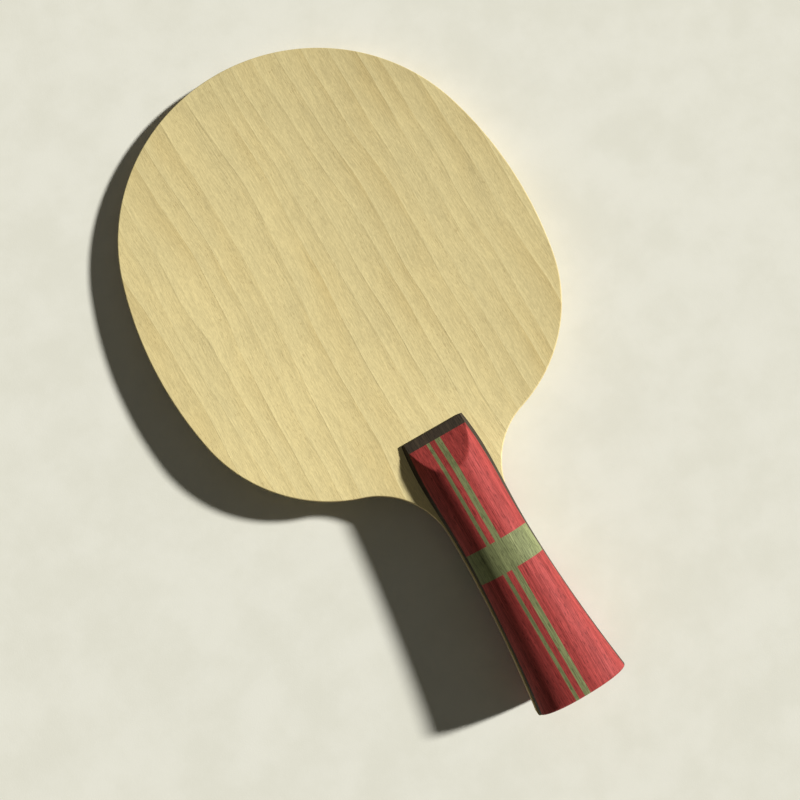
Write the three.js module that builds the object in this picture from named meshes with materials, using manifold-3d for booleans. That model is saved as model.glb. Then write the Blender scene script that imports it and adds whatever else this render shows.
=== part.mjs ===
// A bare wooden table tennis paddle: five glued plies and, on each face, a laminated grip scale.
//
// Millimetres. +X across the blade, +Y from the butt to the tip, +Z out of the front face.
// The dimensions below take y = 0 at the front edge of the grip and z = 0 at the middle of the
// plies; the exported group is shifted so that its origin is the centre of the whole paddle.

import * as THREE from "three";
import { mergeVertices } from "three/addons/utils/BufferGeometryUtils.js";
import Module from "manifold-3d";

// Lengths along the paddle.
const TIP_Y = 156.4;
const BUTT_Y = -102.9;

// The blade's half outline is a chain of tangent arcs that starts at the tip, heading +X.
// Turns are in degrees, clockwise; the neck fillet that follows them is worked out.
const BLADE_ARCS = [
  { radius: 72.4, turn: 74.7 }, // round end
  { radius: 145.3, turn: 27.4 }, // flatter side, with the widest point
  { radius: 58, turn: 60 }, // shoulder beside the grip
];
const ARC_STEP = 4; // degrees between outline points
const TANG_STEP = 6; // mm between outline points along the tang

// Plies, from the middle outwards.
const CORE_THICKNESS = 3;
const INNER_PLY_THICKNESS = 0.9;
const FACE_PLY_THICKNESS = 0.6;
const BLADE_THICKNESS = CORE_THICKNESS + 2 * (INNER_PLY_THICKNESS + FACE_PLY_THICKNESS);

// Plan shape of the grip: it swells behind its front edge, narrows to a waist and flares.
const FRONT_HALF_WIDTH = 12.3;
const SWELL_HALF_WIDTH = 13.45;
const WAIST_HALF_WIDTH = 12.6;
const BUTT_HALF_WIDTH = 17;
const SWELL_Y = -14.6;
const WAIST_Y = -42.6;
const FLARE_POWER = 1.85;
const BUTT_ROUNDING = 1; // radius of the edge around the butt
const GRIP_OFFSET = 0.5; // both scales sit this far towards +X from the blade's axis

// Cross-section of one scale: (x / half width)^SIDE_POWER + (z / height)^(crown power) = 1.
// Its sides lean in most at the front edge and stand up more and more towards the butt.
const SCALE_HEIGHT = 8;
const BUTT_SCALE_HEIGHT = 9;
const SIDE_POWER = 2.4;
const FRONT_CROWN_POWER = 1;
const CROWN_POWER = 1.7;
const CROWN_RUN = 80; // mm from the front edge to where the section has filled out
const SECTION_STEPS = 26;

// The front of each scale is planed off: a low ledge of the base layer, then a rising facet.
const LEDGE_HEIGHT = 1.3; // at the front edge
const LEDGE_LENGTH = 3.7; // to where the ledge reaches the top of the base layer
const FACET_SLOPE = 0.49;

// How a scale is laminated: a dark base layer, lengthwise blocks and stripes, and a cross band.
const BASE_THICKNESS = 2;
const BAND_FRONT_Y = -44.4;
const BAND_BACK_Y = -55.3;
const NARROW_STRIPE = { centre: -3.8, width: 1.25 };
const WIDE_STRIPE = { centre: 0, width: 2.2 };

const COLOURS = {
  face: 0xdbc594,
  inner: 0xc9a878,
  core: 0xd8c49c,
  base: 0x46372a,
  red: 0xb4554c,
  green: 0x8a8d60,
};

const FAR = 100; // beyond any side of the paddle

const wasm = await Module();
wasm.setup();

function woodMaterial(colour) {
  return new THREE.MeshStandardMaterial({ color: COLOURS[colour], roughness: 0.62, metalness: 0 });
}

function woodMesh(name, geometry, colour) {
  const mesh = new THREE.Mesh(geometry, woodMaterial(colour));
  mesh.name = name;
  return mesh;
}

// ---- Solids ------------------------------------------------------------------------------

function toSolid(geometry) {
  const bare = geometry.clone();
  bare.deleteAttribute("normal");
  bare.deleteAttribute("uv");
  const merged = mergeVertices(bare);
  return new wasm.Manifold(
    new wasm.Mesh({
      numProp: 3,
      vertProperties: merged.attributes.position.array,
      triVerts: new Uint32Array(merged.index.array),
    }),
  );
}

function toGeometry(solid) {
  const mesh = solid.getMesh();
  const geometry = new THREE.BufferGeometry();
  geometry.setAttribute("position", new THREE.BufferAttribute(mesh.vertProperties, 3));
  geometry.setIndex(new THREE.BufferAttribute(mesh.triVerts, 1));
  geometry.computeVertexNormals();
  return geometry;
}

// A box between two x values, two y values and two z values, as a solid to cut with.
function block([x0, x1], [y0, y1], [z0, z1]) {
  const box = new THREE.BoxGeometry(x1 - x0, y1 - y0, z1 - z0);
  box.translate((x0 + x1) / 2, (y0 + y1) / 2, (z0 + z1) / 2);
  return toSolid(box);
}

// ---- Plan shape of the grip --------------------------------------------------------------

// How far the rounded edge around the butt pulls the surface in at y.
function buttInset(y) {
  const depth = Math.max(0, BUTT_ROUNDING - (y - BUTT_Y));
  return BUTT_ROUNDING - Math.sqrt(BUTT_ROUNDING ** 2 - depth ** 2);
}

function gripHalfWidth(y) {
  if (y > SWELL_Y) {
    const run = 1 - y / SWELL_Y;
    return SWELL_HALF_WIDTH - (SWELL_HALF_WIDTH - FRONT_HALF_WIDTH) * run ** 2;
  }
  if (y > WAIST_Y) {
    const rise = THREE.MathUtils.smoothstep(y, WAIST_Y, SWELL_Y);
    return THREE.MathUtils.lerp(WAIST_HALF_WIDTH, SWELL_HALF_WIDTH, rise);
  }
  const run = (WAIST_Y - y) / (WAIST_Y - BUTT_Y);
  const flare = (BUTT_HALF_WIDTH - WAIST_HALF_WIDTH) * run ** FLARE_POWER;
  return WAIST_HALF_WIDTH + flare - buttInset(y);
}

// Places from the waist down to the butt at which outlines and sections take a point.
function flareStations(step) {
  const straight = BUTT_Y + BUTT_ROUNDING;
  const count = Math.ceil((WAIST_Y - straight) / step);
  const stations = [];
  for (let i = 0; i < count; i++) {
    stations.push(THREE.MathUtils.lerp(WAIST_Y, straight, i / count));
  }
  for (const angle of [0, 30, 60, 90]) {
    stations.push(straight - BUTT_ROUNDING * Math.sin(THREE.MathUtils.degToRad(angle)));
  }
  return stations;
}

// ---- Plies -------------------------------------------------------------------------------

// Points along tangent arcs; a negative turn curves the other way.
function followArcs(start, arcs) {
  const points = [start.clone()];
  let heading = 0;
  const rightOf = (angle) => new THREE.Vector2(-Math.sin(angle), -Math.cos(angle));
  for (const { radius, turn } of arcs) {
    const signed = radius * Math.sign(turn);
    const centre = points.at(-1).clone().addScaledVector(rightOf(heading), signed);
    const steps = Math.ceil(Math.abs(turn) / ARC_STEP);
    for (let i = 1; i <= steps; i++) {
      const angle = heading + THREE.MathUtils.degToRad((turn * i) / steps);
      points.push(centre.clone().addScaledVector(rightOf(angle), -signed));
    }
    heading += THREE.MathUtils.degToRad(turn);
  }
  return points;
}

// The neck fillet turns the outline back to run straight along the grip's waist.
function neckFillet(start, turnSoFar) {
  const turn = 90 - turnSoFar;
  const sideways = 1 - Math.cos(THREE.MathUtils.degToRad(turn));
  return { radius: (start.x - WAIST_HALF_WIDTH) / sideways, turn };
}

function halfOutline() {
  const tip = new THREE.Vector2(0, TIP_Y);
  const turnSoFar = BLADE_ARCS.reduce((sum, arc) => sum + arc.turn, 0);
  const fillet = neckFillet(followArcs(tip, BLADE_ARCS).at(-1), turnSoFar);
  const blade = followArcs(tip, [...BLADE_ARCS, fillet]);
  const tang = flareStations(TANG_STEP).map((y) => new THREE.Vector2(gripHalfWidth(y), y));
  return [...blade, ...tang];
}

// The outline starts at its widest point, so that the middle of each flat face is one large
// triangle that stays clear of the grip.
function plyOutline() {
  const right = halfOutline();
  const mirrored = right.map((point) => new THREE.Vector2(-point.x, point.y));
  const left = mirrored.slice(1).reverse();
  const widest = right.reduce((best, point, i) => (point.x > right[best].x ? i : best), 0);
  return new THREE.Shape([...right.slice(widest), ...left, ...right.slice(0, widest)]);
}

function ply(name, shape, bottom, thickness, colour) {
  const geometry = new THREE.ExtrudeGeometry(shape, { depth: thickness, bevelEnabled: false });
  const mesh = woodMesh(name, geometry, colour);
  mesh.position.z = bottom;
  return mesh;
}

function blade() {
  const group = new THREE.Group();
  const shape = plyOutline();
  const core = CORE_THICKNESS / 2;
  const inner = core + INNER_PLY_THICKNESS;
  const face = BLADE_THICKNESS / 2;
  group.add(
    ply("core_ply", shape, -core, CORE_THICKNESS, "core"),
    ply("front_inner_ply", shape, core, INNER_PLY_THICKNESS, "inner"),
    ply("back_inner_ply", shape, -inner, INNER_PLY_THICKNESS, "inner"),
    ply("front_face_ply", shape, inner, FACE_PLY_THICKNESS, "face"),
    ply("back_face_ply", shape, -face, FACE_PLY_THICKNESS, "face"),
  );
  return group;
}

// ---- Grip scales -------------------------------------------------------------------------

function scaleHeight(y) {
  return THREE.MathUtils.mapLinear(y, 0, BUTT_Y, SCALE_HEIGHT, BUTT_SCALE_HEIGHT) - buttInset(y);
}

function crownPower(y) {
  const nearFront = THREE.MathUtils.smoothstep(y, -CROWN_RUN, 0);
  return THREE.MathUtils.lerp(CROWN_POWER, FRONT_CROWN_POWER, nearFront);
}

// One cross-section, from the +X side over the crown to the -X side; its foot is at z = 0.
function scaleSection(y) {
  const points = [];
  for (let i = 0; i <= SECTION_STEPS; i++) {
    const angle = (Math.PI * i) / SECTION_STEPS;
    const across = Math.cos(angle);
    const x = gripHalfWidth(y) * Math.sign(across) * Math.abs(across) ** (2 / SIDE_POWER);
    const up = i % SECTION_STEPS === 0 ? 0 : Math.sin(angle) ** (2 / crownPower(y));
    const z = scaleHeight(y) * up;
    points.push(new THREE.Vector3(x, y, z));
  }
  return points;
}

// Skins a row of sections, all with the same number of points, and closes both ends.
function loft(sections) {
  const size = sections[0].length;
  const index = [];
  for (let row = 0; row + 1 < sections.length; row++) {
    for (let i = 0; i < size; i++) {
      const next = (i + 1) % size;
      const [a, b] = [row * size + i, row * size + next];
      const [c, d] = [a + size, b + size];
      index.push(a, b, c, b, d, c);
    }
  }
  const last = (sections.length - 1) * size;
  for (let i = 1; i + 1 < size; i++) {
    index.push(0, i + 1, i);
    index.push(last, last + i, last + i + 1);
  }
  const geometry = new THREE.BufferGeometry().setFromPoints(sections.flat());
  geometry.setIndex(index);
  return geometry;
}

// Everything above the ledge and the facet at the front.
function aboveFacet() {
  const top = BASE_THICKNESS + FACET_SLOPE * FAR;
  const side = new THREE.Shape([
    new THREE.Vector2(FAR, LEDGE_HEIGHT),
    new THREE.Vector2(FAR, top),
    new THREE.Vector2(-LEDGE_LENGTH - FAR, top),
    new THREE.Vector2(-LEDGE_LENGTH, BASE_THICKNESS),
    new THREE.Vector2(0, LEDGE_HEIGHT),
  ]);
  const geometry = new THREE.ExtrudeGeometry(side, { depth: 2 * FAR, bevelEnabled: false });
  geometry.translate(0, 0, -FAR);
  // The shape's x becomes the paddle's y, its y becomes z, and the extrusion runs along x.
  const toPaddle = new THREE.Matrix4().makeBasis(
    new THREE.Vector3(0, 1, 0),
    new THREE.Vector3(0, 0, 1),
    new THREE.Vector3(1, 0, 0),
  );
  return toSolid(geometry.applyMatrix4(toPaddle));
}

function scaleSolid() {
  const front = [0, -3, -6, -9, -12, SWELL_Y, -18, -22, -26, -30, -36];
  const stations = [...front, ...flareStations(TANG_STEP)];
  const whole = toSolid(loft(stations.map(scaleSection)));
  return whole.subtract(aboveFacet());
}

// The pieces side by side across the grip, as [name, low x, high x, colour].
function lengthwisePieces() {
  const edges = [NARROW_STRIPE, WIDE_STRIPE].flatMap(({ centre, width }) => [
    centre - width / 2,
    centre + width / 2,
  ]);
  return [
    ["left_block", -FAR, edges[0], "red"],
    ["narrow_stripe", edges[0], edges[1], "green"],
    ["middle_strip", edges[1], edges[2], "red"],
    ["wide_stripe", edges[2], edges[3], "green"],
    ["right_block", edges[3], FAR, "red"],
  ];
}

// One scale, glued to the face at z = 0 of its own group.
function gripScale(side) {
  const group = new THREE.Group();
  const solid = scaleSolid();
  const across = [-FAR, FAR];
  const upper = [BASE_THICKNESS, FAR];
  const add = (name, x, y, z, colour) => {
    const geometry = toGeometry(solid.intersect(block(x, y, z)));
    group.add(woodMesh(`${side}_${name}`, geometry, colour));
  };
  add("grip_base", across, [-2 * FAR, FAR], [-FAR, BASE_THICKNESS], "base");
  add("cross_band", across, [BAND_BACK_Y, BAND_FRONT_Y], upper, "green");
  const lengths = { fore: [BAND_FRONT_Y, FAR], aft: [-2 * FAR, BAND_BACK_Y] };
  for (const [end, y] of Object.entries(lengths)) {
    for (const [name, x0, x1, colour] of lengthwisePieces()) {
      add(`${name}_${end}`, [x0, x1], y, upper, colour);
    }
  }
  return group;
}

// ---- Paddle ------------------------------------------------------------------------------

const frontScale = gripScale("front");
frontScale.position.set(GRIP_OFFSET, 0, BLADE_THICKNESS / 2);

// The back scale is the same piece, turned over on the other face.
const backScale = gripScale("back");
backScale.position.set(GRIP_OFFSET, 0, -BLADE_THICKNESS / 2);
backScale.rotation.y = Math.PI;

const paddle = new THREE.Group();
paddle.add(blade(), frontScale, backScale);
paddle.position.y = -(TIP_Y + BUTT_Y) / 2;

export default paddle;
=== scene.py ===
"""Looks of a bare wooden table tennis paddle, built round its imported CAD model.

Everything is in metres in the row frame: +X across the blade, +Y from the butt to the tip and
+Z out of the front face, with the origin at the centre of the paddle.
"""

import math
from functools import partial

import bmesh
import bpy
from mathutils import Matrix, Vector


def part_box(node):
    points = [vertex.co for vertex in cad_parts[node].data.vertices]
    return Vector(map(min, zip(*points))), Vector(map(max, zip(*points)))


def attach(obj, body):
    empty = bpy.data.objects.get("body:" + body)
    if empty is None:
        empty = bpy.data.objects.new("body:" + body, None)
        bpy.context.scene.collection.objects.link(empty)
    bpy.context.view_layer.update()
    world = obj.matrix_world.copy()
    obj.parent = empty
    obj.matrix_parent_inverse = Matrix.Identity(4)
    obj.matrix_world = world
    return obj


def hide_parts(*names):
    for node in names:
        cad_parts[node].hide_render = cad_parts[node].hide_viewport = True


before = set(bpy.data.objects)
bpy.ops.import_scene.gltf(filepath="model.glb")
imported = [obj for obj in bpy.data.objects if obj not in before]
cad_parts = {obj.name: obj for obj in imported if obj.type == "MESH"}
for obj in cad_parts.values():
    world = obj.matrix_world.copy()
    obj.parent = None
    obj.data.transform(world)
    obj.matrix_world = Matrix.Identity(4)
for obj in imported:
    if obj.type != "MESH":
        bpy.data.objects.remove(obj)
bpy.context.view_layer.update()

MM = 0.001

# How finely rounded edges are divided, in degrees, and where surfaces show a sharp edge.
EDGE_STEP = 10
PLY_EDGE_STEP = 15
SHARP_ANGLE = 35
WELD_DISTANCE = 0.0001 * MM

# ---- Sizes, in millimetres ------------------------------------------------------------------

# The blade's half outline: tangent arcs (radius, clockwise turn in degrees) from the tip.
BLADE_ARCS = [(72.4, 74.7), (145.3, 27.4), (58, 60)]
ARC_STEP = 1.0  # degrees
TANG_STEP = 1.5

# The blade's outer edges are rounded up to ROUNDED_RUN behind the grip's front edge, and sharp
# from SHARP_RUN on. All other edges of the plies are broken only by SEAM, where they are glued.
EDGE_ROUNDING = 0.5
ROUNDED_RUN = 24
SHARP_RUN = 34
SEAM = 0.04

# The grip's plan: front edge, swell, waist and flare.
FRONT_HALF_WIDTH = 12.3
SWELL_HALF_WIDTH = 13.45
WAIST_HALF_WIDTH = 12.6
BUTT_HALF_WIDTH = 17
SWELL_RUN = 14.6
WAIST_RUN = 42.6
FLARE_POWER = 1.85
BUTT_ROUNDING = 1

# The grip's section: (x / half width)^SIDE_POWER + (z / height)^(crown power) = 1.
SCALE_HEIGHT = 8
BUTT_SCALE_HEIGHT = 9
SIDE_POWER = 2.4
FRONT_CROWN_POWER = 1
CROWN_POWER = 1.7
CROWN_RUN = 80

# The front of the grip: a low ledge of the base layer, then a planed facet.
LEDGE_HEIGHT = 1.3
LEDGE_LENGTH = 3.7
LEDGE_ROUNDING = 0.4
FACET_SLOPE = 0.49
FACET_ROUNDING = 0.35
FACET_RUN = 19
PIECE_GAP = 0.05

# How finely the grip is divided, along it and across each kind of piece.
FACET_STEP = 0.3
GRIP_STEP = 2
BAND_POINTS = 90
BLOCK_POINTS = 48
WIDE_STRIPE_POINTS = 10
MIDDLE_STRIP_POINTS = 8
NARROW_STRIPE_POINTS = 6
BASE_SIDE_POINTS = 10

# ---- Places taken from the CAD frame, in millimetres ----------------------------------------


def span(node, axis):
    """A CAD node's lowest and highest coordinate along an axis."""
    low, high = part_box(node)
    return low[axis] / MM, high[axis] / MM


BUTT_Y, TIP_Y = span("core_ply", 1)
FRONT_Y = span("front_grip_base", 1)[1]
FACE_Z = span("front_face_ply", 2)[1]
BASE_THICKNESS = span("front_grip_base", 2)[1] - FACE_Z
BAND_BACK_Y, BAND_FRONT_Y = span("front_cross_band", 1)
GRIP_X = sum(span("front_grip_base", 0)) / 2
NARROW_STRIPE_X = [x - GRIP_X for x in span("front_narrow_stripe_fore", 0)]
WIDE_STRIPE_X = [x - GRIP_X for x in span("front_wide_stripe_fore", 0)]


# ---- Mesh helpers ---------------------------------------------------------------------------


def make_object(name, vertices, faces, material):
    """A mesh object from points in millimetres, with sharp edges where faces meet steeply."""
    mesh = bpy.data.meshes.new(name)
    mesh.from_pydata([Vector(v) * MM for v in vertices], [], faces)
    form = bmesh.new()
    form.from_mesh(mesh)
    bmesh.ops.remove_doubles(form, verts=form.verts, dist=WELD_DISTANCE)
    bmesh.ops.recalc_face_normals(form, faces=form.faces)
    form.to_mesh(mesh)
    form.free()
    mesh.shade_smooth()
    mesh.set_sharp_from_angle(angle=math.radians(SHARP_ANGLE))
    mesh.materials.append(material)
    piece = bpy.data.objects.new(name, mesh)
    bpy.context.scene.collection.objects.link(piece)
    return piece


def skin_rings(rings):
    """Points and faces of a closed solid through rings that all have the same number of points."""
    size = len(rings[0])
    points = [point for ring in rings for point in ring]
    faces = []
    for row in range(len(rings) - 1):
        for i in range(size):
            a, b = row * size + i, row * size + (i + 1) % size
            faces.append((a, b, b + size, a + size))
    faces.append(tuple(range(size)))
    faces.append(tuple(range(len(points) - size, len(points))))
    return points, faces


def stand_for(piece, node):
    """The piece rides on the one body and stands for its CAD node."""
    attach(piece, "root")
    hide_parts(node)


def steps(first, last, step):
    """Evenly spaced values from first to last, about a step apart."""
    count = max(1, math.ceil(abs(last - first) / step))
    return [first + (last - first) * i / count for i in range(count + 1)]


def smoothstep(value, low, high):
    """Rises smoothly from 0 to 1 as the value goes from low to high."""
    t = min(1, max(0, (value - low) / (high - low)))
    return t * t * (3 - 2 * t)


# ---- Plan shape of the grip -----------------------------------------------------------------


def butt_inset(y):
    """How far the rounded edge round the butt pulls the surface in."""
    depth = max(0, BUTT_ROUNDING - (y - BUTT_Y))
    return BUTT_ROUNDING - math.sqrt(max(0, BUTT_ROUNDING**2 - depth**2))


def grip_half_width(y):
    """Half the grip's width: widest at the swell, narrow at the waist, flared to the butt."""
    run = FRONT_Y - y
    if run < SWELL_RUN:
        drop = (1 - run / SWELL_RUN) ** 2
        return SWELL_HALF_WIDTH - (SWELL_HALF_WIDTH - FRONT_HALF_WIDTH) * drop
    if run < WAIST_RUN:
        rise = smoothstep(-run, -WAIST_RUN, -SWELL_RUN)
        return WAIST_HALF_WIDTH + (SWELL_HALF_WIDTH - WAIST_HALF_WIDTH) * rise
    share = (run - WAIST_RUN) / (FRONT_Y - BUTT_Y - WAIST_RUN)
    flare = (BUTT_HALF_WIDTH - WAIST_HALF_WIDTH) * share**FLARE_POWER
    return WAIST_HALF_WIDTH + flare - butt_inset(y)


def butt_stations():
    """Places along the rounded edge round the butt."""
    straight = BUTT_Y + BUTT_ROUNDING
    angles = range(0, 90 + EDGE_STEP, EDGE_STEP)
    return [straight - BUTT_ROUNDING * math.sin(math.radians(angle)) for angle in angles]


# ---- Plies ----------------------------------------------------------------------------------


def follow_arcs(start, arcs, step):
    """Points along tangent arcs, from a start that heads along +X."""
    points = [Vector(start)]
    heading = 0.0
    for radius, turn in arcs:
        signed = math.copysign(radius, turn)
        centre = points[-1] + signed * Vector((-math.sin(heading), -math.cos(heading)))
        for angle in steps(0, math.radians(turn), math.radians(step))[1:]:
            out = Vector((math.sin(heading + angle), math.cos(heading + angle)))
            points.append(centre + signed * out)
        heading += math.radians(turn)
    return points


def half_outline():
    """The right half of the blade's outline, from the tip to the butt."""
    tip = (0, TIP_Y)
    turned = sum(turn for _, turn in BLADE_ARCS)
    neck_start = follow_arcs(tip, BLADE_ARCS, ARC_STEP)[-1]
    neck_turn = 90 - turned
    neck_radius = (neck_start.x - WAIST_HALF_WIDTH) / (1 - math.cos(math.radians(neck_turn)))
    blade = follow_arcs(tip, [*BLADE_ARCS, (neck_radius, neck_turn)], ARC_STEP)
    tang_y = steps(blade[-1].y - TANG_STEP, BUTT_Y + BUTT_ROUNDING, TANG_STEP)[:-1]
    tang = [Vector((grip_half_width(y), y)) for y in [*tang_y, *butt_stations()]]
    return blade + tang


def loop_outline():
    """The whole outline as (point, outward normal) pairs, clockwise from the tip."""
    right = half_outline()
    loop = right + [Vector((-p.x, p.y)) for p in reversed(right[1:])]
    outline = []
    for i, point in enumerate(loop):
        along = (loop[(i + 1) % len(loop)] - loop[i - 1]).normalized()
        outline.append((point, Vector((-along.y, along.x))))
    return outline


def ply_rings(outline, bottom, top, low_rounding, high_rounding):
    """Rings round the edge, from the bottom face to the top face."""
    rings = []
    quarter = [math.radians(angle) for angle in range(0, 90 + PLY_EDGE_STEP, PLY_EDGE_STEP)]
    ends = [(bottom, 1, low_rounding, list(reversed(quarter))), (top, -1, high_rounding, quarter)]
    for face_z, inward, rounding, angles in ends:
        for angle in angles:
            ring = []
            for point, normal in outline:
                free = smoothstep(point.y, FRONT_Y - SHARP_RUN, FRONT_Y - ROUNDED_RUN)
                radius = SEAM + (rounding - SEAM) * free
                place = point - normal * radius * (1 - math.cos(angle))
                ring.append((place.x, place.y, face_z + inward * radius * (1 - math.sin(angle))))
            rings.append(ring)
    return rings


def ply(outline, name, node, slot, materials, low_rounding=SEAM, high_rounding=SEAM):
    """One ply of the blade. Its two flat faces are made of strips from side to side."""
    bottom, top = span(node, 2)
    rings = ply_rings(outline, bottom, top, low_rounding, high_rounding)
    points, faces = skin_rings(rings)
    # The strips replace the two many-sided faces that close the rings.
    del faces[-2:]
    size = len(rings[0])
    for start in (0, len(points) - size):
        for i in range(size // 2):
            left, next_left = (size - i) % size, size - i - 1
            quad = [start + i, start + i + 1, start + next_left, start + left]
            faces.append(tuple(dict.fromkeys(quad)))
    piece = make_object(name, points, faces, materials[slot])
    stand_for(piece, node)


def blade(materials):
    """The five plies. Only the outer edges of the two face plies are rounded."""
    outline = loop_outline()
    ply(outline, "core_wood", "core_ply", "core_wood", materials)
    for side in ("front", "back"):
        inner, face = f"{side}_inner_ply", f"{side}_face_ply"
        roundings = (SEAM, EDGE_ROUNDING) if side == "front" else (EDGE_ROUNDING, SEAM)
        ply(outline, f"{side}_inner_veneer", inner, "inner_veneer", materials)
        ply(outline, f"{side}_face_veneer", face, "face_veneer", materials, *roundings)


# ---- Grip scales ----------------------------------------------------------------------------


def scale_height(y):
    """The height of the scale's crown over the blade's face."""
    share = (FRONT_Y - y) / (FRONT_Y - BUTT_Y)
    return SCALE_HEIGHT + (BUTT_SCALE_HEIGHT - SCALE_HEIGHT) * share - butt_inset(y)


def soft_min(a, b, rounding):
    """The smaller of two heights, with the crease between them rounded over."""
    gap = max(0, rounding - abs(a - b)) / rounding
    return min(a, b) - gap * gap * rounding / 4


def facet_height(y):
    """The height of the ledge and the facet at the front, with the front edge rounded over."""
    run = FRONT_Y - y
    depth = max(0, LEDGE_ROUNDING - run)
    inset = LEDGE_ROUNDING - math.sqrt(LEDGE_ROUNDING**2 - depth**2)
    ledge = LEDGE_HEIGHT + (BASE_THICKNESS - LEDGE_HEIGHT) * run / LEDGE_LENGTH
    return max(ledge - inset, BASE_THICKNESS + FACET_SLOPE * (run - LEDGE_LENGTH))


def crown_power(y):
    """The section's power: sides nearly straight at the front, and fuller towards the butt."""
    near_front = smoothstep(y, FRONT_Y - CROWN_RUN, FRONT_Y)
    return CROWN_POWER + (FRONT_CROWN_POWER - CROWN_POWER) * near_front


def angle_at_height(z, y):
    """The section's angle, from the +X foot, at which its surface is z high."""
    return math.asin(min(1, (z / scale_height(y)) ** (crown_power(y) / 2)))


def angle_at_x(x, y):
    """The section's angle, from the +X foot, at which its surface is at x."""
    across = min(1, abs(x) / grip_half_width(y)) ** (SIDE_POWER / 2)
    return math.acos(math.copysign(across, x))


def section_point(angle, y):
    """A point of the scale's surface, as (x, height over the blade's face)."""
    across, up = math.cos(angle), max(0, math.sin(angle))
    x = grip_half_width(y) * math.copysign(abs(across) ** (2 / SIDE_POWER), across)
    z = scale_height(y) * up ** (2 / crown_power(y))
    return x, max(0, soft_min(z, facet_height(y), FACET_ROUNDING))


def upper_ring(y, x_low, x_high, count):
    """One section of a piece that stands on the base layer, between two x values."""
    foot = angle_at_height(BASE_THICKNESS, y)
    start = foot if x_high is None else angle_at_x(x_high, y)
    end = math.pi - foot if x_low is None else angle_at_x(x_low, y)
    top = [section_point(start + (end - start) * i / count, y) for i in range(count + 1)]
    ring = [(x, y, max(z, BASE_THICKNESS)) for x, z in top]
    ring.append((top[-1][0], y, BASE_THICKNESS))
    ring.append((top[0][0], y, BASE_THICKNESS))
    return ring


def base_ring(y, count):
    """One section of the dark base layer."""
    top = min(BASE_THICKNESS, facet_height(y))
    foot = angle_at_height(top, y)
    side = [section_point(foot * i / count, y) for i in range(count)]
    corner = grip_half_width(y) * math.cos(foot) ** (2 / SIDE_POWER)
    right = [(x, y, z) for x, z in side] + [(corner, y, top)]
    left = [(-x, y, z) for x, _, z in reversed(right)]
    return right + left


def front_edge_stations():
    """Places along the rounded front edge of the ledge, without its end."""
    angles = [math.radians(angle) for angle in range(0, 90, EDGE_STEP)]
    return [FRONT_Y - LEDGE_ROUNDING * (1 - math.cos(angle)) for angle in angles]


def grip_stations(front, back):
    """Places for sections between two ends: close together where the facet's edge runs."""
    facet_end = FRONT_Y - FACET_RUN
    straight = BUTT_Y + BUTT_ROUNDING
    places = []
    if front == FRONT_Y:
        places += front_edge_stations()
        front -= LEDGE_ROUNDING
    if front > facet_end:
        places += steps(front, facet_end, FACET_STEP)[:-1]
        front = facet_end
    if back < straight:
        return places + steps(front, straight, GRIP_STEP)[:-1] + butt_stations()
    return places + steps(front, back, GRIP_STEP)


def grip_piece(side, name, ring, front, back, slot, materials):
    """One piece of a scale. The back scale is the front one, turned over about its length."""
    turn = 1 if side == "front" else -1
    rings = []
    for y in grip_stations(front, back):
        rings.append([(GRIP_X + turn * x, y, turn * (FACE_Z + z)) for x, _, z in ring(y)])
    points, faces = skin_rings(rings)
    piece = make_object(f"{side}_{name}_wood", points, faces, materials[slot])
    stand_for(piece, f"{side}_{name}")


def grip_scale(side, materials):
    """The twelve pieces of one scale."""
    dark, red, green = "grip_base_wood", "grip_red_wood", "grip_green_wood"
    narrow_low, narrow_high = NARROW_STRIPE_X
    wide_low, wide_high = WIDE_STRIPE_X
    # Name, lowest and highest x (None at the scale's own side), points across, material slot.
    lengthwise = [
        ("left_block", None, narrow_low, BLOCK_POINTS, red),
        ("narrow_stripe", narrow_low, narrow_high, NARROW_STRIPE_POINTS, green),
        ("middle_strip", narrow_high, wide_low, MIDDLE_STRIP_POINTS, red),
        ("wide_stripe", wide_low, wide_high, WIDE_STRIPE_POINTS, green),
        ("right_block", wide_high, None, BLOCK_POINTS, red),
    ]
    facet_foot = FRONT_Y - LEDGE_LENGTH - PIECE_GAP
    ends = {"fore": (facet_foot, BAND_FRONT_Y), "aft": (BAND_BACK_Y, BUTT_Y)}
    for end, (front, back) in ends.items():
        for name, low, high, count, slot in lengthwise:
            ring = partial(upper_ring, x_low=low, x_high=high, count=count)
            grip_piece(side, f"{name}_{end}", ring, front, back, slot, materials)
    band = partial(upper_ring, x_low=None, x_high=None, count=BAND_POINTS)
    grip_piece(side, "cross_band", band, BAND_FRONT_Y, BAND_BACK_Y, green, materials)
    base = partial(base_ring, count=BASE_SIDE_POINTS)
    grip_piece(side, "grip_base", base, FRONT_Y, BUTT_Y, dark, materials)


# ---- Materials ------------------------------------------------------------------------------

# Colours are linear red, green and blue. Noises mostly stay within NOISE_SPREAD.
NOISE_SPREAD = (0.3, 0.7)

VENEER_EARLY_WOOD = (0.785, 0.655, 0.322)
VENEER_LATE_WOOD = (0.65, 0.508, 0.22)
VENEER_PATCHES = (0.685, 0.575, 0.285)
VENEER_PORES = (0.36, 0.24, 0.09)
VENEER_SAWN_EDGE = (0.5, 0.37, 0.17)
INNER_DARK = (0.36, 0.23, 0.105)
INNER_LIGHT = (0.55, 0.38, 0.19)
INNER_PORES = (0.15, 0.085, 0.035)
CORE_LIGHT = (0.66, 0.51, 0.28)
CORE_DARK = (0.52, 0.37, 0.18)
CORE_PORES = (0.27, 0.17, 0.07)
PAPER_LIGHT = (0.79, 0.775, 0.67)
PAPER_DARK = (0.745, 0.73, 0.62)
GRIP_SHEEN = 0.1
GRIP_SHEEN_ROUGHNESS = 0.45


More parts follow.
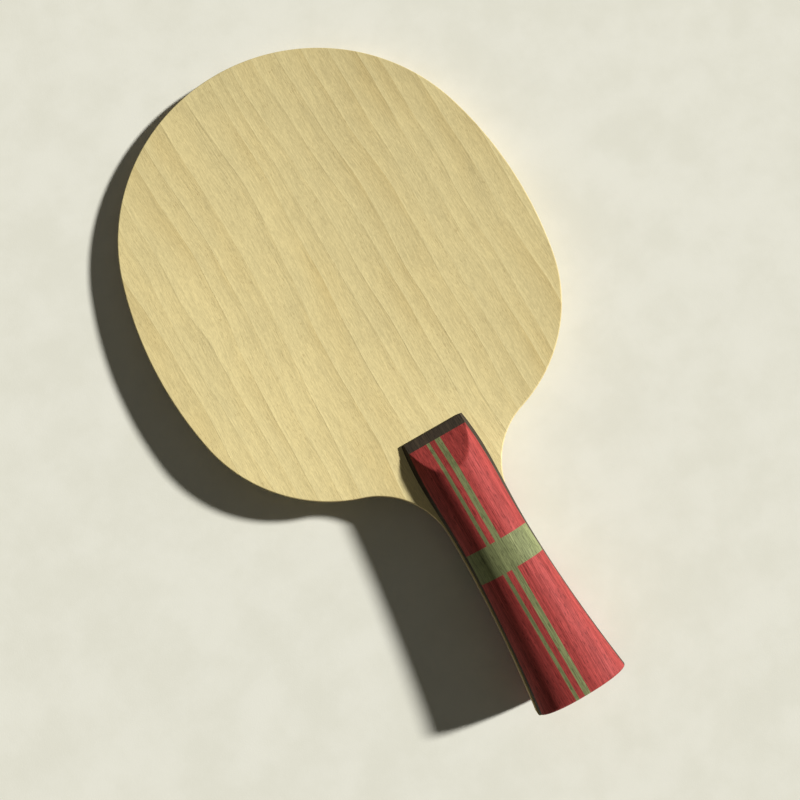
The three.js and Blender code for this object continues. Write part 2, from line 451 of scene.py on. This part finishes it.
class Graph:
    """The shader nodes of one material, placed by object coordinates in millimetres."""

    def __init__(self, name):
        self.material = bpy.data.materials.new(name)
        self.material.use_nodes = True
        self.tree = self.material.node_tree
        self.shader = self.tree.nodes["Principled BSDF"]
        metres = self.node("ShaderNodeTexCoord", {}, "Object")
        self.place = self.node("ShaderNodeVectorMath", {0: metres, 3: 1 / MM}, operation="SCALE")
        self.normal = self.node("ShaderNodeNewGeometry", {}, "Normal")

    def node(self, kind, inputs, output=0, **settings):
        """Adds a node, sets or links its inputs and returns one of its outputs."""
        node = self.tree.nodes.new(kind)
        for setting, value in settings.items():
            setattr(node, setting, value)
        for key, value in inputs.items():
            if isinstance(value, bpy.types.NodeSocket):
                self.tree.links.new(value, node.inputs[key])
            else:
                node.inputs[key].default_value = value
        return node.outputs[output]

    def math(self, operation, first, second=0.0):
        return self.node("ShaderNodeMath", {0: first, 1: second}, operation=operation)

    def part(self, vector, axis):
        return self.node("ShaderNodeSeparateXYZ", {0: vector}, axis)

    def ramp(self, value, low, high, to_low=0.0, to_high=1.0):
        """Takes low..high smoothly to to_low..to_high, flat outside."""
        ends = {0: value, 1: low, 2: high, 3: to_low, 4: to_high}
        return self.node("ShaderNodeMapRange", ends, interpolation_type="SMOOTHSTEP")

    def noise(self, size, seed, detail=2.0, roughness=0.5):
        """Noise whose blobs are about size millimetres along X, Y and Z."""
        scale = [1 / millimetres for millimetres in size]
        shift = (seed * 7.3, seed * 3.1, seed * 5.7)
        mapped = {"Vector": self.place, "Scale": scale, "Location": shift}
        vector = self.node("ShaderNodeMapping", mapped)
        inputs = {"Vector": vector, "Scale": 1.0, "Detail": detail, "Roughness": roughness}
        return self.node("ShaderNodeTexNoise", inputs)

    def streaks(self, width, length, seed, detail=2.0, roughness=0.5):
        """Streaks along the paddle that keep their width on its faces and on its steep sides."""
        on_faces = self.noise((width, length, 6 * width), seed, detail, roughness)
        on_sides = self.noise((6 * width, length, width), seed + 1, detail, roughness)
        steep = self.ramp(self.math("ABSOLUTE", self.part(self.normal, 0)), 0.66, 0.8)
        return self.node("ShaderNodeMix", {0: steep, 2: on_faces, 3: on_sides})

    def mix(self, factor, first, second, blend="MIX"):
        """Blends two colours, each a socket or linear red, green and blue."""
        inputs = {0: factor}
        for key, colour in ((6, first), (7, second)):
            inputs[key] = colour if isinstance(colour, bpy.types.NodeSocket) else (*colour, 1)
        return self.node("ShaderNodeMix", inputs, 2, data_type="RGBA", blend_type=blend)

    def stain(self, colour, other, mask, amount):
        """Mixes up to that amount of another colour in where the mask is 1."""
        return self.mix(self.math("MULTIPLY", mask, amount), colour, other)

    def shade(self, colour, value):
        """The colour times a number that varies over the surface."""
        grey = self.node("ShaderNodeCombineColor", {0: value, 1: value, 2: value})
        return self.mix(1.0, colour, grey, "MULTIPLY")

    def vary(self, colour, noise, dark, light):
        """The colour times dark to light, as the noise goes from low to high."""
        return self.shade(colour, self.ramp(noise, *NOISE_SPREAD, dark, light))

    def darken(self, colour, mask, amount):
        """The colour, darkened by up to that amount where the mask is 1."""
        return self.shade(colour, self.math("SUBTRACT", 1.0, self.math("MULTIPLY", mask, amount)))

    def sway(self, amount, size, seed):
        """Bends what is placed after this sideways, so that grain lines aren't ruler straight."""
        wave = self.math("SUBTRACT", self.noise(size, seed, 1.0), 0.5)
        sideways = self.node("ShaderNodeCombineXYZ", {0: self.math("MULTIPLY", wave, 2 * amount)})
        moved = {0: self.place, 1: sideways}
        self.place = self.node("ShaderNodeVectorMath", moved, operation="ADD")

    def finish(self, colour, roughness, height, depth, specular):
        """Links the surface's colour, roughness and relief, depth millimetres deep."""
        bump = {"Height": height, "Distance": depth * MM, "Strength": 1.0}
        self.shader.inputs["Specular IOR Level"].default_value = specular
        self.tree.links.new(colour, self.shader.inputs["Base Color"])
        self.tree.links.new(roughness, self.shader.inputs["Roughness"])
        self.tree.links.new(self.node("ShaderNodeBump", bump), self.shader.inputs["Normal"])
        return self.material


def growth_rings(graph, spacing, seed):
    """Rises across each growth ring from 0 to 1 and drops at its sharp edge."""
    years = graph.noise((5 * spacing, 400, 30), seed, detail=1)
    ripple = graph.noise((1.8 * spacing, 160, 20), seed + 1, detail=1)
    steady = graph.math("DIVIDE", graph.part(graph.place, 0), spacing)
    years = graph.math("MULTIPLY", years, 3.6)
    ripple = graph.math("MULTIPLY", ripple, 1.2)
    uneven = graph.math("ADD", years, ripple)
    return graph.math("FRACT", graph.math("ADD", steady, uneven))


def sawn_edge(graph):
    """1 where the surface faces sideways, as a ply's sawn edge does, and 0 on the faces."""
    return graph.ramp(graph.math("ABSOLUTE", graph.part(graph.normal, 2)), 0.3, 0.9, 1, 0)


def painted_light_falloff(graph):
    """Slow painted light falloff from corner to corner: lighter at -X, darker at +X."""
    across = graph.math("MULTIPLY", graph.part(graph.place, 0), 3.6)
    diagonal = graph.math("ADD", across, graph.part(graph.place, 1))
    return graph.ramp(diagonal, -500, 560, 1.21, 0.745)


def veneer_ring_colour(graph, ring):
    """Early to late wood across each ring, with plainer stretches and slightly greener patches."""
    plainness = graph.ramp(graph.noise((26, 90, 26), seed=15), 0.35, 0.65, 0.35, 1)
    lateness = graph.math("MULTIPLY", graph.math("POWER", ring, 0.7), plainness)
    colour = graph.mix(lateness, VENEER_EARLY_WOOD, VENEER_LATE_WOOD)
    patches = graph.ramp(graph.noise((16, 45, 16), seed=4), 0.36, 0.64)
    return graph.stain(colour, VENEER_PATCHES, patches, 0.45)


def veneer_pores(graph, ring):
    """Small pores, which crowd together in places and are few in early wood."""
    pores = graph.ramp(graph.streaks(width=0.2, length=2.2, seed=8, detail=1), 0.61, 0.7)
    crowding = graph.ramp(graph.noise((5, 16, 5), seed=10), 0.4, 0.62, 0.15, 1)
    crowding = graph.math("MULTIPLY", crowding, graph.ramp(ring, 0.1, 0.6, 0.4, 1))
    return graph.math("MULTIPLY", pores, crowding)


def face_veneer():
    """Pale bare veneer: wavy growth rings that end in a fine line, short fibres and small pores."""
    graph = Graph("face_veneer")
    painted_falloff = painted_light_falloff(graph)
    graph.sway(amount=3.0, size=(42, 58, 42), seed=1)
    graph.sway(amount=0.6, size=(11, 22, 11), seed=2)
    ring = growth_rings(graph, spacing=8.5, seed=3)
    colour = veneer_ring_colour(graph, ring)
    strength = graph.ramp(graph.noise((8, 42, 8), seed=5), 0.4, 0.66)
    line = graph.math("MULTIPLY", graph.ramp(ring, 0.93, 0.985), strength)
    glint = graph.math("MULTIPLY", graph.ramp(ring, 0.0, 0.09, 1, 0), strength)
    colour = graph.darken(colour, line, 0.17)
    colour = graph.darken(colour, glint, -0.07)
    late_wood = graph.ramp(ring, 0.4, 0.95)
    fine_lines = graph.ramp(graph.streaks(width=0.34, length=24, seed=14), 0.5, 0.62)
    colour = graph.darken(colour, graph.math("MULTIPLY", late_wood, fine_lines), 0.1)
    fibres = graph.streaks(width=0.42, length=6.5, seed=6, detail=3, roughness=0.6)
    colour = graph.vary(colour, fibres, 0.91, 1.085)
    grit = graph.streaks(width=0.24, length=1.3, seed=12, roughness=0.6)
    colour = graph.vary(colour, grit, 0.91, 1.075)
    pores = veneer_pores(graph, ring)
    colour = graph.stain(colour, VENEER_PORES, pores, 0.5)
    # Painted light falloff: the veneer's colour is made lighter towards -X and darker towards +X.
    colour = graph.shade(colour, painted_falloff)
    colour = graph.stain(colour, VENEER_SAWN_EDGE, sawn_edge(graph), 0.35)
    height = graph.math("SUBTRACT", graph.math("ADD", fibres, grit), pores)
    height = graph.math("SUBTRACT", height, line)
    roughness = graph.ramp(fibres, *NOISE_SPREAD, 0.86, 0.76)
    return graph.finish(colour, roughness, height, depth=0.012, specular=0.18)


def inner_veneer():
    """The thin cross-grain plies, seen only as an edge."""
    graph = Graph("inner_veneer")
    fibres = graph.noise((14, 0.3, 0.3), seed=11, detail=3, roughness=0.6)
    colour = graph.mix(graph.ramp(fibres, *NOISE_SPREAD), INNER_DARK, INNER_LIGHT)
    pores = graph.ramp(graph.noise((1.5, 0.16, 0.16), seed=12, detail=1), 0.58, 0.68)
    colour = graph.stain(colour, INNER_PORES, pores, 0.6)
    height = graph.math("SUBTRACT", fibres, pores)
    roughness = graph.ramp(fibres, *NOISE_SPREAD, 0.85, 0.7)
    return graph.finish(colour, roughness, height, depth=0.03, specular=0.3)


def core_wood():
    """The light core, with the growth layers that its sawn edge shows."""
    graph = Graph("core_wood")
    graph.sway(amount=0.8, size=(30, 60, 4), seed=21)
    layers = graph.noise((26, 34, 0.7), seed=22, roughness=0.55)
    colour = graph.mix(graph.ramp(layers, 0.35, 0.65), CORE_LIGHT, CORE_DARK)
    fibres = graph.streaks(width=0.24, length=7, seed=23, detail=3, roughness=0.6)
    colour = graph.vary(colour, fibres, 0.82, 1.1)
    pores = graph.ramp(graph.streaks(width=0.2, length=1.8, seed=25, detail=1), 0.6, 0.7)
    colour = graph.stain(colour, CORE_PORES, pores, 0.45)
    height = graph.math("SUBTRACT", fibres, pores)
    roughness = graph.ramp(fibres, *NOISE_SPREAD, 0.85, 0.7)
    return graph.finish(colour, roughness, height, depth=0.03, specular=0.3)


def grip_wood(name, seed, light, dark, pore_colour):
    """Stained, thinly oiled wood of the grip: soft bands, crisp streaks along it and open pores."""
    graph = Graph(name)
    graph.sway(amount=0.2, size=(14, 90, 14), seed=seed)
    bands = graph.ramp(graph.streaks(width=1.3, length=70, seed=seed + 1), 0.35, 0.65)
    colour = graph.mix(bands, light, dark)
    fibres = graph.streaks(width=0.22, length=15, seed=seed + 3, detail=3, roughness=0.6)
    colour = graph.vary(colour, fibres, 0.7, 1.28)
    grit = graph.streaks(width=0.2, length=2.4, seed=seed + 7, roughness=0.6)
    colour = graph.vary(colour, grit, 0.86, 1.13)
    pores = graph.ramp(graph.streaks(width=0.3, length=2.6, seed=seed + 5, detail=1), 0.6, 0.64)
    colour = graph.stain(colour, pore_colour, pores, 0.6)
    height = graph.math("SUBTRACT", graph.math("MULTIPLY", fibres, 0.7), pores)
    roughness = graph.ramp(fibres, *NOISE_SPREAD, 0.76, 0.6)
    graph.shader.inputs["Sheen Weight"].default_value = GRIP_SHEEN
    graph.shader.inputs["Sheen Roughness"].default_value = GRIP_SHEEN_ROUGHNESS
    return graph.finish(colour, roughness, height, depth=0.008, specular=0.2)


def grip_base_wood():
    light, dark, pores = (0.052, 0.037, 0.021), (0.033, 0.023, 0.013), (0.01, 0.007, 0.004)
    return grip_wood("grip_base_wood", 31, light, dark, pores)


def grip_red_wood():
    light, dark, pores = (0.375, 0.049, 0.041), (0.29, 0.033, 0.027), (0.12, 0.008, 0.007)
    return grip_wood("grip_red_wood", 41, light, dark, pores)


def grip_green_wood():
    light, dark, pores = (0.22, 0.24, 0.1), (0.162, 0.18, 0.071), (0.07, 0.078, 0.028)
    return grip_wood("grip_green_wood", 51, light, dark, pores)


def paper():
    """The pale sheet that the paddle lies on."""
    graph = Graph("paper")
    mottling = graph.noise((22, 22, 22), seed=61, detail=4, roughness=0.6)
    colour = graph.mix(graph.ramp(mottling, *NOISE_SPREAD), PAPER_LIGHT, PAPER_DARK)
    fibres = graph.noise((0.5, 0.5, 0.5), seed=62, detail=3, roughness=0.6)
    roughness = graph.ramp(fibres, *NOISE_SPREAD, 0.85, 0.95)
    return graph.finish(colour, roughness, fibres, depth=0.02, specular=0.2)


def make_materials():
    woods = (face_veneer, inner_veneer, core_wood, grip_base_wood, grip_red_wood, grip_green_wood)
    return {wood.__name__: wood() for wood in woods}


# ---- Floor, light and camera ----------------------------------------------------------------

FLOOR_SIZE = 20.0  # metres

# The key light's direction, in degrees round from +X and up from level, and its apparent size.
KEY_AZIMUTH = -12
KEY_ELEVATION = 29
KEY_ANGLE = 5
FILL_STRENGTH = 0.1
BACKDROP_COLOUR = (0.8, 0.785, 0.69)

# The camera looks down at the paddle, turned so that the blade points up and to the left.
CAMERA_PLACE = Vector((-25.33, -50.85, 320.7)) * MM
CAMERA_TARGET = Vector((-3.89, -11.96, 3.0)) * MM
CAMERA_TURN = 29.87
CAMERA_LENS = 40.5
SENSOR_WIDTH = 36


def floor():
    """The sheet that the paddle lies on: it touches the tip and the crown of the back scale."""
    stations = grip_stations(FRONT_Y, BUTT_Y)
    slope = max(section_point(math.pi / 2, y)[1] / (TIP_Y - y) for y in stations)
    tip = Vector((0, TIP_Y, -FACE_Z)) * MM
    along = Vector((0, 1, slope)).normalized() * FLOOR_SIZE / 2
    across = Vector((1, 0, 0)) * FLOOR_SIZE / 2
    ends = [(-1, -1), (-1, 1), (1, 1), (1, -1)]
    corners = [tip + end * along + side * across for end, side in ends]
    mesh = bpy.data.meshes.new("floor")
    mesh.from_pydata(corners, [], [(0, 1, 2, 3)])
    mesh.materials.append(paper())
    sheet = bpy.data.objects.new("floor", mesh)
    bpy.context.scene.collection.objects.link(sheet)


def studio():
    """A dim pale fill from all round, which the camera itself sees as a bright backdrop."""
    world = bpy.data.worlds.new("studio")
    world.use_nodes = True
    tree = world.node_tree
    seen = tree.nodes.new("ShaderNodeLightPath").outputs["Is Camera Ray"]
    strength = tree.nodes.new("ShaderNodeMath")
    strength.operation = "MULTIPLY_ADD"
    strength.inputs[1].default_value = 1 - FILL_STRENGTH
    strength.inputs[2].default_value = FILL_STRENGTH
    tree.links.new(seen, strength.inputs[0])
    background = tree.nodes["Background"]
    background.inputs["Color"].default_value = (*BACKDROP_COLOUR, 1)
    tree.links.new(strength.outputs[0], background.inputs["Strength"])
    bpy.context.scene.world = world


def light():
    """A soft sun. Together with the fill, it shows a level surface in about its own colour."""
    elevation = math.radians(KEY_ELEVATION)
    key = bpy.data.lights.new("key", "SUN")
    key.energy = (1 - FILL_STRENGTH) * math.pi / math.sin(elevation)
    key.angle = math.radians(KEY_ANGLE)
    lamp = bpy.data.objects.new("key", key)
    lamp.rotation_euler = (math.pi / 2 - elevation, 0, math.radians(KEY_AZIMUTH + 90))
    bpy.context.scene.collection.objects.link(lamp)


def camera():
    """The photo's viewpoint."""
    data = bpy.data.cameras.new("camera")
    data.lens = CAMERA_LENS
    data.sensor_width = SENSOR_WIDTH
    cam = bpy.data.objects.new("camera", data)
    forward = (CAMERA_TARGET - CAMERA_PLACE).normalized()
    turn = math.radians(CAMERA_TURN)
    right = forward.cross(Vector((math.sin(turn), math.cos(turn), 0))).normalized()
    up = right.cross(forward)
    axes = Matrix((right, up, -forward)).transposed()
    cam.matrix_world = Matrix.Translation(CAMERA_PLACE) @ axes.to_4x4()
    bpy.context.scene.collection.objects.link(cam)
    bpy.context.scene.camera = cam


bpy.context.scene.view_settings.view_transform = "Standard"
camera()
studio()
light()
floor()
materials = make_materials()
blade(materials)
grip_scale("front", materials)
grip_scale("back", materials)
